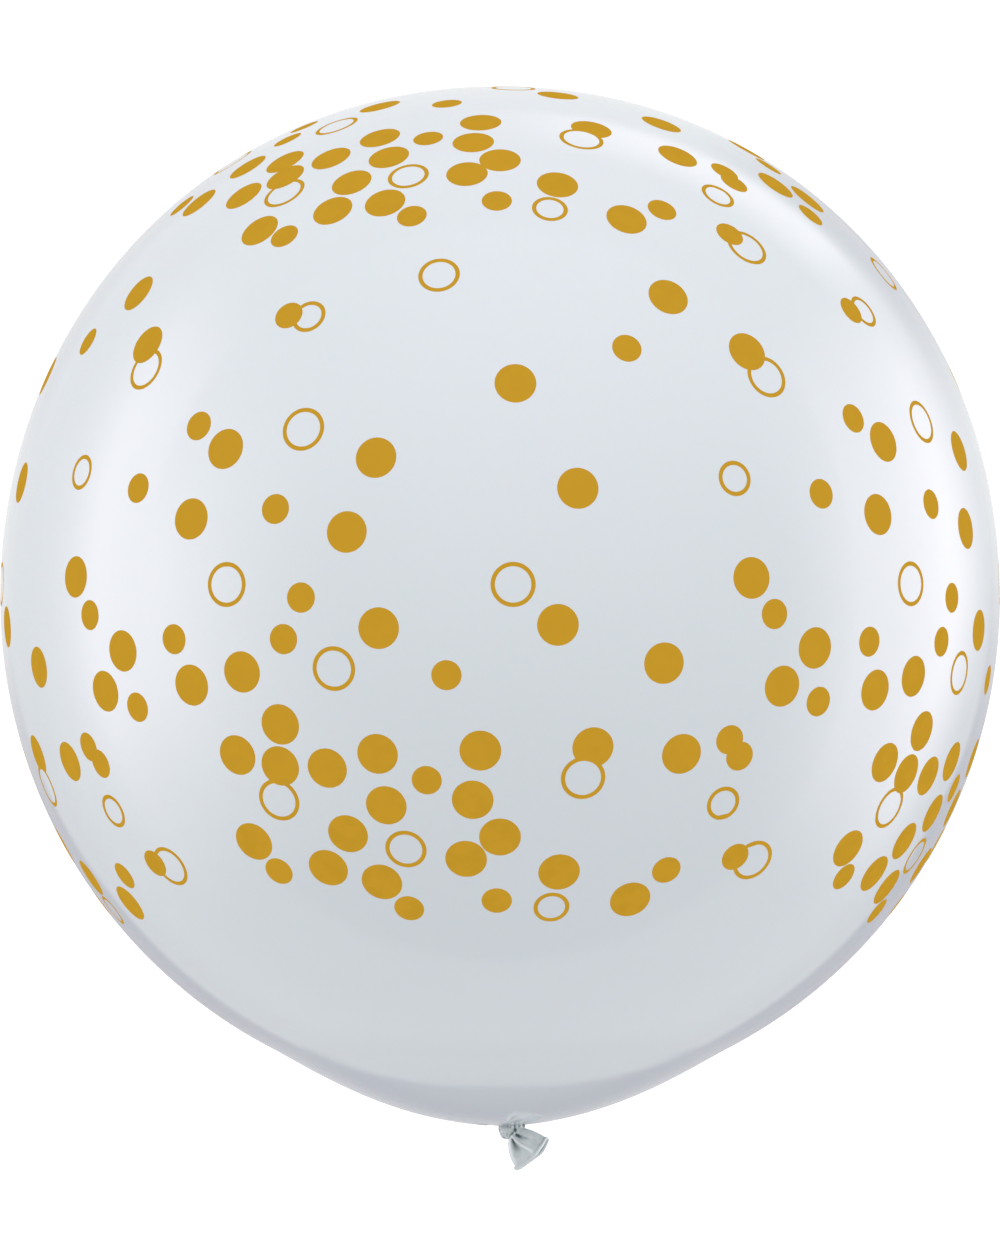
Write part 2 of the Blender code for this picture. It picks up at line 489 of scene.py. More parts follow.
def confetti(shape, sizes, distance):
    """All printed marks as (centre, outward, outer radius, inner radius, rank); a high rank covers."""
    kinds = (
        (LARGE_RINGS, sizes.large_ring, True, 0),
        (MEDIUM_RINGS, sizes.medium_ring, True, 0),
        (SMALL_RINGS, sizes.small_ring, True, 0),
        (SMALL_DOTS, sizes.small_dot, False, 1),
        (BIG_DOTS, sizes.big_dot, False, 1),
        (RINGS_OVER_DOTS, sizes.large_ring, True, 2),
    )
    marks = []
    for warp, turn in panel_placers():
        for places, diameter, open_ring, rank in kinds:
            for x, y in places:
                out = turn @ face_on_direction(x, y, warp, shape)
                inner = diameter / 2.0 - sizes.line if open_ring else 0.0
                centre = seen_from_above(mark_centre(out, shape), shape, distance)
                marks.append((centre, out, diameter / 2.0, inner, rank))
    return marks


def punch_rounds(marks):
    """Sorts the outlines into rounds in which no two punches touch."""
    rounds = []
    for centre, out, outer, inner, _rank in marks:
        radii = [outer, inner] if inner else [outer]
        for done in rounds:
            if all((centre - other).length > outer + reach + 0.002 for other, _out, reach, _radii in done):
                done.append((centre, out, outer, radii))
                break
        else:
            rounds.append([(centre, out, outer, radii)])
    return rounds


def add_punches(punches, rolls, sides):
    """Open tubes that stand square on the skin, one for each outline, in one object."""
    tubes = bmesh.new()
    for (centre, out, _outer, radii), roll in zip(punches, rolls):
        upright = out.to_track_quat("Z", "Y").to_matrix().to_4x4()
        place = Matrix.Translation(centre) @ upright @ Matrix.Rotation(roll, 4, "Z")
        for radius in radii:
            bmesh.ops.create_cone(
                tubes, segments=sides, radius1=radius, radius2=radius, depth=0.03, cap_ends=False, matrix=place
            )
    for face in tubes.faces:
        face.select_set(True)
    mesh = bpy.data.meshes.new("punches")
    tubes.to_mesh(mesh)
    tubes.free()
    thing = bpy.data.objects.new("punches", mesh)
    bpy.context.scene.collection.objects.link(thing)
    return thing


def clear_punches(skin, shape):
    """Takes away what is left of the punches and any edge without a face."""
    mesh = bmesh.new()
    mesh.from_mesh(skin.data)
    stray = [vertex for vertex in mesh.verts if (vertex.co - on_skin(vertex.co, shape)).length > 0.004]
    bmesh.ops.delete(mesh, geom=stray, context="VERTS")
    bmesh.ops.delete(mesh, geom=[edge for edge in mesh.edges if edge.is_wire], context="EDGES")
    mesh.to_mesh(skin.data)
    mesh.free()


def punch_skin(skin, punches, rolls, shape, sizes):
    """Cuts one round of outlines into the skin."""
    tubes = add_punches(punches, rolls, sizes.sides)
    select_faces(skin, lambda face: False)
    select_only(skin)
    tubes.select_set(True)
    bpy.ops.object.join()
    edit(
        skin,
        lambda: bpy.ops.mesh.intersect(
            mode="SELECT_UNSELECT", separate_mode="NONE", solver="FAST", threshold=1e-6
        ),
    )
    clear_punches(skin, shape)


def face_middles(skin):
    """Middles of the skin's faces, to find the faces near a mark."""
    middles = KDTree(len(skin.data.polygons))
    for face in skin.data.polygons:
        middles.insert(face.center, face.index)
    middles.balance()
    return middles


def face_reaches(skin, index, centre, out):
    """How far a face's corners are from a mark's middle, seen from straight over it."""
    corners = [skin.data.vertices[corner].co - centre for corner in skin.data.polygons[index].vertices]
    return [(corner - corner.dot(out) * out).length for corner in corners]


def torn_outlines(skin, punches):
    """Numbers of the punches whose outline some face still crosses."""
    middles = face_middles(skin)
    torn = []
    for place, (centre, out, outer, radii) in enumerate(punches):
        for _middle, index, _distance in middles.find_range(centre, outer + LARGEST_FACE):
            reaches = face_reaches(skin, index, centre, out)
            if any(min(reaches) < edge - OUTLINE_SLACK and max(reaches) > edge + OUTLINE_SLACK for edge in radii):
                torn.append(place)
                break
    return torn


def cut_outlines(skin, marks, shape, sizes):
    """Cuts the outline of every mark into the skin, so that the print has sharp edges."""
    for punches in punch_rounds(marks):
        whole = skin.data.copy()
        rolls = [0.0] * len(punches)
        punch_skin(skin, punches, rolls, shape, sizes)
        for _again in range(PUNCH_TRIES):
            torn = torn_outlines(skin, punches)
            if not torn:
                break
            for place in torn:
                rolls[place] += PUNCH_ROLL
            skin.data = whole.copy()
            punch_skin(skin, punches, rolls, shape, sizes)
        bpy.data.meshes.remove(whole)
    for vertex in skin.data.vertices:
        if vertex.co.y > -0.8 * shape.belly_depth:
            vertex.co = on_skin(vertex.co, shape)


def ink_faces(skin, marks):
    """Gives the ink to faces that lie whole under a dot or a ring's line, higher ranks last."""
    middles = face_middles(skin)
    for centre, out, outer, inner, _rank in sorted(marks, key=lambda mark: mark[4]):
        for _middle, index, _distance in middles.find_range(centre, outer):
            reaches = face_reaches(skin, index, centre, out)
            if max(reaches) < outer + OUTLINE_SLACK:
                skin.data.polygons[index].material_index = 1 if min(reaches) > inner - OUTLINE_SLACK else 0


def copy_of(thing, name):
    twin = thing.copy()
    twin.data = thing.data.copy()
    twin.name = name
    bpy.context.scene.collection.objects.link(twin)
    return twin


def borrow_normals(skin, smooth_twin):
    """Takes the shading of the uncut twin, so that the cut outlines don't show in the gloss."""
    transfer = skin.modifiers.new("smooth shading", "DATA_TRANSFER")
    transfer.object = smooth_twin
    transfer.use_loop_data = True
    transfer.data_types_loops = {"CUSTOM_NORMAL"}
    transfer.loop_mapping = "POLYINTERP_NEAREST"
    apply_modifier(skin, transfer)
    bpy.data.objects.remove(smooth_twin, do_unlink=True)


def flatten_underside(thing):
    """Presses the lowest part flat on the floor."""
    for vertex in thing.data.vertices:
        vertex.co.z = max(vertex.co.z, 0.0)


def tint_noise(tree, scale, detail):
    """Soft noise in the object's own coordinates."""
    nodes, links = tree.nodes, tree.links
    place = nodes.new("ShaderNodeTexCoord")
    cloud = nodes.new("ShaderNodeTexNoise")
    cloud.inputs["Scale"].default_value = scale
    cloud.inputs["Detail"].default_value = detail
    links.new(place.outputs["Object"], cloud.inputs["Vector"])
    return cloud


def add_mix(tree, first, second, share):
    """Mixes two colours, each a colour or an output, by an output."""
    blend = tree.nodes.new("ShaderNodeMix")
    blend.data_type = "RGBA"
    for socket, value in ((blend.inputs["A"], first), (blend.inputs["B"], second)):
        if isinstance(value, bpy.types.NodeSocket):
            tree.links.new(value, socket)
        else:
            socket.default_value = (*value, 1.0)
    tree.links.new(share, blend.inputs["Factor"])
    return blend.outputs["Result"]


def map_range(tree, value, from_low, from_high, to_low, to_high):
    scaled = tree.nodes.new("ShaderNodeMapRange")
    scaled.interpolation_type = "SMOOTHSTEP"
    for name, number in zip(("From Min", "From Max", "To Min", "To Max"), (from_low, from_high, to_low, to_high)):
        scaled.inputs[name].default_value = number
    tree.links.new(value, scaled.inputs["Value"])
    return scaled.outputs["Result"]


def add_bump(tree, height, strength, distance):
    bump = tree.nodes.new("ShaderNodeBump")
    bump.inputs["Strength"].default_value = strength
    bump.inputs["Distance"].default_value = distance
    tree.links.new(height, bump.inputs["Height"])
    return bump.outputs["Normal"]


def new_material(name):
    material = bpy.data.materials.new(name)
    material.use_nodes = True
    tree = material.node_tree
    return material, tree, tree.nodes["Principled BSDF"]


def stretched_latex(finish, shape):
    """Pearly stretched latex with soft cool and green tints, lighter at the crown and a touch darker towards the neck
    as painted shade.
    """
    material, tree, shader = new_material("stretched_latex")
    place = tree.nodes.new("ShaderNodeTexCoord")
    parts = tree.nodes.new("ShaderNodeSeparateXYZ")
    tree.links.new(place.outputs["Object"], parts.inputs["Vector"])
    height = map_range(tree, parts.outputs["Y"], -shape.belly_depth, shape.crown_depth, 0.0, 1.0)
    # Painted shade: the base colour darkens from the crown towards the neck.
    base = add_mix(tree, tuple(finish.neck_latex_shaded), tuple(finish.crown_latex), height)
    cloud = map_range(tree, tint_noise(tree, 2.6, 1.0).outputs["Fac"], 0.35, 0.65, 0.0, 0.5)
    green = tuple(channel * factor for channel, factor in zip(finish.crown_latex, (0.95, 0.975, 0.955)))
    tree.links.new(add_mix(tree, base, green, cloud), shader.inputs["Base Color"])
    sheen = map_range(tree, tint_noise(tree, 5.0, 2.0).outputs["Fac"], 0.3, 0.7, 0.09, 0.11)
    tree.links.new(sheen, shader.inputs["Roughness"])
    grain = tint_noise(tree, 900.0, 3.0).outputs["Fac"]
    tree.links.new(add_bump(tree, grain, 0.04, 0.0002), shader.inputs["Normal"])
    shader.inputs["Specular IOR Level"].default_value = 1.0
    shader.inputs["Subsurface Weight"].default_value = 0.10
    shader.inputs["Subsurface Scale"].default_value = 0.01
    return material


def gold_ink(finish, shape):
    """Flat matt ink with painted shade and light, darker towards the crown and lighter towards the neck against the
    sky's lean, and a faint unevenness.
    """
    material, tree, shader = new_material("gold_ink")
    place = tree.nodes.new("ShaderNodeTexCoord")
    parts = tree.nodes.new("ShaderNodeSeparateXYZ")
    tree.links.new(place.outputs["Object"], parts.inputs["Vector"])
    height = map_range(tree, parts.outputs["Y"], -shape.belly_depth, shape.crown_depth, 0.0, 1.0)
    # Painted light and shade: the ink is made lighter at the neck and darker at the crown.
    thin = tuple(channel * 1.06 for channel in finish.ink)
    ink_shaded_at_crown = tuple(channel * 0.86 for channel in finish.ink)
    base = add_mix(tree, thin, ink_shaded_at_crown, height)
    deep = tuple(channel * 0.93 for channel in finish.ink)
    cloud = map_range(tree, tint_noise(tree, 60.0, 2.0).outputs["Fac"], 0.35, 0.65, 0.0, 0.5)
    tree.links.new(add_mix(tree, base, deep, cloud), shader.inputs["Base Color"])
    grain = tint_noise(tree, 1400.0, 2.0).outputs["Fac"]
    tree.links.new(add_bump(tree, grain, 0.06, 0.0002), shader.inputs["Normal"])
    shader.inputs["Roughness"].default_value = 0.6
    shader.inputs["Specular IOR Level"].default_value = 0.0
    return material


def slack_latex(finish):
    """Unstretched latex of the knot and tail: painted shade in the folds, painted highlights on their backs, and a
    mottle.
    """
    material, tree, shader = new_material("slack_latex")
    pale = tuple(min(channel * 1.2, 1.0) for channel in finish.tail_latex)
    cloud = map_range(tree, tint_noise(tree, 260.0, 4.0).outputs["Fac"], 0.3, 0.7, 0.0, 1.0)
    flat = add_mix(tree, tuple(finish.tail_latex), pale, cloud)
    tone = tree.nodes.new("ShaderNodeAttribute")
    tone.attribute_name = "painted_light_and_mottle"
    # Painted shade where the attribute is low, painted highlight where it is high, the knot's random mottle mixed in.
    valley = map_range(tree, tone.outputs["Fac"], 0.5, 0.0, 0.0, 1.0)
    back = map_range(tree, tone.outputs["Fac"], 0.5, 1.0, 0.0, 1.0)
    folded = add_mix(tree, flat, tuple(finish.fold_painted_shade), valley)
    tree.links.new(add_mix(tree, folded, tuple(finish.fold_painted_highlight), back), shader.inputs["Base Color"])
    grain = tint_noise(tree, 1500.0, 5.0).outputs["Fac"]
    tree.links.new(add_bump(tree, grain, 0.12, 0.0004), shader.inputs["Normal"])
    shader.inputs["Roughness"].default_value = 0.24
    shader.inputs["Specular IOR Level"].default_value = 0.7
    shader.inputs["Subsurface Weight"].default_value = 0.08
    shader.inputs["Subsurface Scale"].default_value = 0.001
    return material


class BALLOON_OT_make_skin(bpy.types.Operator):
    """Makes the inflated skin with its pleats at the neck and the print cut into it"""

    bl_idname = "balloon.make_skin"
    bl_label = "Skin"

    def execute(self, context):
        shape = context.scene.balloon_shape
        sizes = context.scene.balloon_print
        finish = context.scene.balloon_finish
        skin = add_quad_ball(shape)
        pleat_neck(skin, shape)
        skin.data.shade_smooth()
        twin = copy_of(skin, "uncut_twin")
        marks = confetti(shape, sizes, camera_distance(context.scene.balloon_studio.lens))
        cut_outlines(skin, marks, shape, sizes)
        skin.data.materials.append(stretched_latex(finish, shape))
        skin.data.materials.append(gold_ink(finish, shape))
        ink_faces(skin, marks)
        flatten_underside(skin)
        flatten_underside(twin)
        borrow_normals(skin, twin)
        ride_and_replace(skin)
        return {"FINISHED"}


def tail_place(tail, shape):
    """Turns the tail's own frame, at the pinch with -Y along it, into its place."""
    end = shape.belly_depth + shape.swell_depth
    pinch = Vector((tail.knot_offset + tail.pinch_shift, -end - tail.pinch_drop, shape.axis_height))
    return Matrix.Translation(pinch) @ Matrix.Rotation(tail.lean, 4, "Z")


def knot_place(tail, shape):
    end = shape.belly_depth + shape.swell_depth
    pinch = Vector((tail.knot_offset + tail.pinch_shift, -end - tail.pinch_drop, shape.axis_height))
    return Matrix.Translation(pinch) @ Matrix.Rotation(tail.knot_tilt, 4, "Z")


def knot_gathers(across):
    """Three lumps on the bead's thin half, from -1 between them to 1 on them."""
    return cos(2.0 * pi * (across - 0.0019) / KNOT_LUMP_PITCH) * min(max(across / 0.0015 + 2.4, 0.0), 1.0)


def knot_tone(point, tail):
    """Painted shade in the bead's pit, painted shadow along its seam and painted highlight on its lumps, over a random
    mottle, 0.5 for neither.
    """
    pit = exp(-((hypot(point.x + 0.0007, point.y - 0.0030) / 0.0021) ** 2))
    start, end = Vector((0.0, 0.0030)), Vector((-0.0070, -0.0017))
    flat = Vector((point.x, point.y)) - start
    share = min(max(flat.dot(end - start) / (end - start).length_squared, 0.0), 1.0)
    seam = exp(-(((flat - share * (end - start)).length / 0.0010) ** 2))
    lumps = 0.22 * knot_gathers(point.x) * (1.0 if point.z > 0.0 else 0.0)
    mottle = 0.40 * noise.noise(point / 0.0019) + 0.15 * noise.noise(point / 0.0008) - 0.04
    return (0.5 + lumps + mottle) * (1.0 - max(pit, 0.55 * seam))


def knot_point(out, tail):
    """Point of the bead in a direction: a fat end, and a thin end gathered into three lumps."""
    turn = atan2(hypot(out.y, out.z), -out.x)
    across = tail.knot_shift - tail.knot_length / 2.0 * cos(turn)
    radius = mix(tail.knot_fat, tail.knot_thin, (1.0 - cos(turn)) / 2.0) * sin(turn) ** 0.75
    around = atan2(out.z, out.y)
    twist = around * 5.0 + 4.0 * turn
    fine = 0.00035 * (cos(twist) + 0.6 * cos(2.3 * twist + 2.0 + 7.0 * turn))
    reach = radius + (fine + 0.0007 * knot_gathers(across)) * sin(turn)
    return Vector((across, tail.knot_sink + reach * cos(around), reach * sin(around)))


class BALLOON_OT_make_knot(bpy.types.Operator):
    """Makes the knot, a wrinkled bead of rolled neck"""

    bl_idname = "balloon.make_knot"
    bl_label = "Knot"

    def execute(self, context):
        tail = context.scene.balloon_tail
        knot = add_primitive(
            bpy.ops.mesh.primitive_uv_sphere_add,
            "balloon_knot",
            segments=96,
            ring_count=64,
            radius=1.0,
            rotation=(0.0, pi / 2.0, 0.0),
        )
        bpy.ops.object.transform_apply(location=True, rotation=True, scale=True)
        place = knot_place(tail, context.scene.balloon_shape)
        tones = knot.data.attributes.new("painted_light_and_mottle", "FLOAT", "POINT")
        for vertex, tone in zip(knot.data.vertices, tones.data):
            point = knot_point(vertex.co.normalized(), tail)
            vertex.co = place @ point
            # Painted shade, shadow and highlight of the bead, with its random mottle.
            tone.value = knot_tone(point, tail)
        knot.data.shade_smooth()
        knot.data.materials.append(slack_latex(context.scene.balloon_finish))
        ride_and_replace(knot)
        return {"FINISHED"}


# Folds of the tail, in millimetres: side (1 up, -1 down), height (under 0 for a valley), width at the
# start and at the end, and its path as (along the tail, across it)
# The folds' heights also set their painted shade and painted highlight.
TAIL_FOLDS = (
    (1, 2.6, 1.6, 1.9, ((-3.0, -5.5), (0.0, -7.6), (4.0, -10.6), (9.0, -13.4), (16.0, -15.9), (27.0, -18.0))),
    (1, -2.7, 0.9, 7.5, ((0.6, -6.2), (3.0, -6.6), (6.0, -7.2), (11.0, -8.2), (22.5, -9.5))),
    (1, 4.2, 0.9, 1.6, ((-2.0, -5.0), (4.0, -5.0), (7.5, -4.4), (10.8, -3.4), (16.2, -1.0), (21.8, 1.5), (27.0, 2.2))),
    (1, -3.6, 0.8, 4.4, ((-0.8, -2.5), (0.3, -1.7), (1.6, -0.8), (4.5, 0.5), (11.5, 2.8))),
    (1, -0.8, 1.2, 2.0, ((-1.5, 1.8), (1.8, 3.8), (6.0, 8.0))),
    (1, 0.5, 1.2, 2.0, ((3.0, 9.5), (8.0, 12.6), (16.0, 15.5))),
    (1, -0.7, 1.0, 2.6, ((7.0, 3.6), (14.0, 6.5), (21.5, 9.0))),
    (-1, -3.2, 1.1, 3.0, ((-1.0, 1.5), (6.0, 2.6), (16.0, 4.0))),
    (-1, 1.5, 0.9, 2.0, ((-1.0, -2.0), (8.0, -3.5), (20.0, -6.0))),
    (-1, -2.2, 1.0, 2.4, ((-1.0, -4.5), (6.0, -7.5), (13.0, -9.0))),
    (-1, 1.2, 1.0, 2.0, ((-1.0, 5.0), (8.0, 9.5), (18.0, 14.0))),
)
KNOT_LUMP_PITCH = 0.0041
# A fold this deep gets full painted shade or highlight; the wall itself moves out by FOLD_RELIEF of the lift.
DEEPEST_FOLD = 0.0022
FOLD_RELIEF = 0.7


def path_place(path, along):
    """Place across the tail of a fold's path, and its share from start to end, or None outside it."""
    if not path[0][0] <= along <= path[-1][0]:
        return None
    share = (along - path[0][0]) / (path[-1][0] - path[0][0])
    for (near, near_across), (far, far_across) in zip(path, path[1:]):
        if along <= far:
            return mix(near_across, far_across, (along - near) / (far - near)), share
    return None


def fold_lift(along, across, up):
    """How far the folds move the wall out, at a place on the tail's upper or lower side."""
    lift = 0.0
    for side, height, start_width, end_width, path in TAIL_FOLDS:
        place = path_place(path, along / MILLIMETRE)
        if side * up < 0.0 or place is None:
            continue
        middle, share = place
        nearness = exp(-(((across / MILLIMETRE - middle) / mix(start_width, end_width, share)) ** 2))
        fading = 1.0 - share**2 if height > 0.0 else (1.0 - share) ** 1.2
        lift += height * MILLIMETRE * nearness * min(8.0 * share + 0.3, 1.0) * fading
    return lift


def lip_tone(tone, along, across, tail):
    """The lip's painted highlight and shade at a place across it: full at the right, an even pale painted highlight at
    the left.
    """
    at_lip = min(max(2.0 * along / tail.length - 1.0, 0.0), 1.0)
    right = min(max((2.0 * across / tail.mouth_width - 0.05) / 0.45, 0.0), 1.0)
    return mix(tone, mix(0.35, tone, right), at_lip) if tone > -0.5 else tone


def skirt_point(turn, along, outward, fold_share, tail):
    """Point of the tail's wall in its own frame and its folds' full lift, which sets the painted fold shade and
    highlight, at a turn round it.
    """
    share = min(max(along, 0.0) / tail.length, 1.0)
    half_width = mix(tail.pinch_width, tail.mouth_width, sin(pi / 2.0 * share) ** tail.flare) / 2.0
    half_thickness = mix(tail.pinch_thickness, tail.mouth_gap + tail.roll, share) / 2.0
    bulge = sin(pi * min(share / 0.85, 1.0) ** 0.6)
    across = half_width * cos(turn) + min(cos(turn), 0.0) * tail.left_fullness * bulge
    deep = half_thickness * copysign(abs(sin(turn)) ** 0.85, sin(turn))
    normal = Vector((half_thickness * cos(turn), 0.0, half_width * sin(turn))).normalized()
    folds = fold_lift(along, across, deep)
    lift = FOLD_RELIEF * fold_share * folds * abs(sin(turn)) ** 0.4
    right = min(max((across / (0.5 * tail.mouth_width) + 0.15) / 0.6, 0.0), 1.0)
    set_back = tail.mouth_step * abs(max(sin(turn), 0.0)) ** 0.3 * right * share**4
    reach = 2.0 * across / tail.mouth_width
    drop = tail.corner_drop * max((reach - 0.21) / 0.79, 0.0) ** 2 + 0.0014 * max(-5.0 * reach - 4.0, 0.0) ** 2
    shift = -along + share**1.5 * drop + set_back
    return Vector((across, shift, deep)) + normal * (outward + lift), fold_share * folds


def sleeve_stations(tail):
    """Places along the wall, each with its painted shade or highlight: down the outside, round the lip's roll and up
    the inside again.
    """
    roll = tail.roll / 2.0
    stations = [(-0.010, -0.0025, 0.0, 0.0)]
    for step in range(30):
        share = step / 29.0
        along = mix(-0.001, tail.length - 1.5 * roll, share)
        # Painted shade: the wall darkens in a crease just before the lip's roll.
        stations.append((along, 0.0, 1.0, -0.34 * max(8.0 * share - 7.0, 0.0)))
    for step in range(15):
        turn = mix(-0.25, 1.0, step / 14.0) * pi
        # Painted highlight and shade round the roll of the lip.
        light = cos(2.2 * pi * (min(step / 14.0, 0.8) - 0.33))
        tone = light * (1.0 if light > 0.0 else 0.15)
        stations.append((tail.length + roll * sin(turn), roll * cos(turn), 0.0, tone))
    for step in range(1, 9):
        along = tail.length - tail.recess * step / 8.0
        # Painted shade, darker deeper inside the mouth.
        stations.append((along, -tail.wall, 1.0, -0.15 - 0.7 * step / 8.0))
    return stations


class BALLOON_OT_make_tail(bpy.types.Operator):
    """Makes the tail, a folded and flattened sleeve with a rolled lip and an open mouth"""

    bl_idname = "balloon.make_tail"
    bl_label = "Tail"

    def execute(self, context):
        tail = context.scene.balloon_tail
        stations = sleeve_stations(tail)
        sleeve = add_primitive(
            bpy.ops.mesh.primitive_grid_add,
            "balloon_tail",
            x_subdivisions=160,
            y_subdivisions=len(stations) - 1,
            size=2.0,
        )
        place = tail_place(tail, context.scene.balloon_shape)
        lifts = []
        for vertex in sleeve.data.vertices:
            turn = pi * vertex.co.x
            row = round((vertex.co.y + 1.0) / 2.0 * (len(stations) - 1))
            *station, tone = stations[row]
            point, lift = skirt_point(turn, *station, tail)
            tone = lip_tone(tone, station[0], point.x, tail)
            vertex.co = place @ point
            # Painted shade and highlight from the folds' full lift and from the lip, kept as a point attribute.
            lifts.append(0.5 + 0.5 * min(max(lift / DEEPEST_FOLD + tone, -1.0), 1.0))
        tones = sleeve.data.attributes.new("painted_light_and_mottle", "FLOAT", "POINT")
        tones.data.foreach_set("value", lifts)
        edit(
            sleeve,
            lambda: bpy.ops.mesh.select_all(action="SELECT"),
            lambda: bpy.ops.mesh.remove_doubles(threshold=1e-6),
            lambda: bpy.ops.mesh.select_all(action="DESELECT"),
            bpy.ops.mesh.select_non_manifold,
            bpy.ops.mesh.edge_face_add,
            lambda: bpy.ops.mesh.select_all(action="SELECT"),
            lambda: bpy.ops.mesh.normals_make_consistent(inside=False),
        )
        sleeve.data.shade_smooth()
        sleeve.data.materials.append(slack_latex(context.scene.balloon_finish))
        ride_and_replace(sleeve)
        return {"FINISHED"}


def add_board(name, side, height):
    """A square plane with its middle under the balloon, and its material's tree and shader."""
    board = add_primitive(bpy.ops.mesh.primitive_plane_add, name, size=side, location=(0.0, 0.0, 0.0))
    for vertex in board.data.vertices:
        vertex.co.z = height
    material, tree, shader = new_material(name)
    shader.inputs["Roughness"].default_value = 1.0
    shader.inputs["Specular IOR Level"].default_value = 0.0
    board.data.materials.append(material)
    board.visible_camera = False
    board.visible_diffuse = False
    board.visible_glossy = False
    return board, tree, shader


def add_floor(settings):
    """The pale floor that the camera sees: white round the balloon and soft grey further off."""
    floor, tree, shader = add_board("floor", settings.floor, 0.0)
    x, y, _z = separate(tree, "Object")
    paleness = map_range(tree, length(tree, x, y), 0.95, 2.8, 1.0, settings.backdrop / FLOOR_LIGHT)
    tree.links.new(product(tree, paleness, 0.95), shader.inputs["Base Color"])
    tree.links.new(paleness, shader.inputs["Emission Color"])
    shader.inputs["Emission Strength"].default_value = settings.floor_glow
    floor.visible_camera = True
    floor.visible_shadow = False


def add_bounce_board(settings):
    """Throws soft light up on the underside."""
    board, _tree, shader = add_board("bounce_board", settings.floor, -0.002)
    grey = settings.bounce
    shader.inputs["Base Color"].default_value = (grey, grey, grey, 1.0)
    shader.inputs["Emission Color"].default_value = (1.0, 1.0, 1.0, 1.0)
    shader.inputs["Emission Strength"].default_value = settings.bounce_glow
    board.visible_diffuse = True


def number(tree, operation, *values):
    """A sum with sockets or plain values."""
    node = tree.nodes.new("ShaderNodeMath")
    node.operation = operation
    for socket, value in zip(node.inputs, values):
        if isinstance(value, bpy.types.NodeSocket):
            tree.links.new(value, socket)
        else:
            socket.default_value = value
    return node.outputs["Value"]


def product(tree, *values):
    result = values[0]
    for value in values[1:]:
        result = number(tree, "MULTIPLY", result, value)
    return result


def total(tree, *values):
    result = values[0]
    for value in values[1:]:
        result = number(tree, "ADD", result, value)
    return result


def soft_step(tree, value, none, full):
    """0 to 1 between two values, softly."""
    return map_range(tree, value, none, full, 0.0, 1.0)


def separate(tree, kind):
    """The three coordinates of a kind."""
    place = tree.nodes.new("ShaderNodeTexCoord")
    parts = tree.nodes.new("ShaderNodeSeparateXYZ")
    tree.links.new(place.outputs[kind], parts.inputs["Vector"])
    return parts.outputs["X"], parts.outputs["Y"], parts.outputs["Z"]


def length(tree, x, y):
    return number(tree, "SQRT", total(tree, product(tree, x, x), product(tree, y, y)))


def warm_fields(tree, plain, fields, shade=0.0):
    """Colour of a neutral level with slightly warm fields on top and a cool shade taken off."""
    colour = tree.nodes.new("ShaderNodeCombineColor")
    for name, warmth, depth in (("Red", 1.14, -0.95), ("Green", 1.0, -1.0), ("Blue", 1.03, -0.90)):
        level = total(tree, plain, product(tree, fields, warmth), product(tree, depth, shade))
        tree.links.new(level, colour.inputs[name])
    return colour.outputs["Color"]


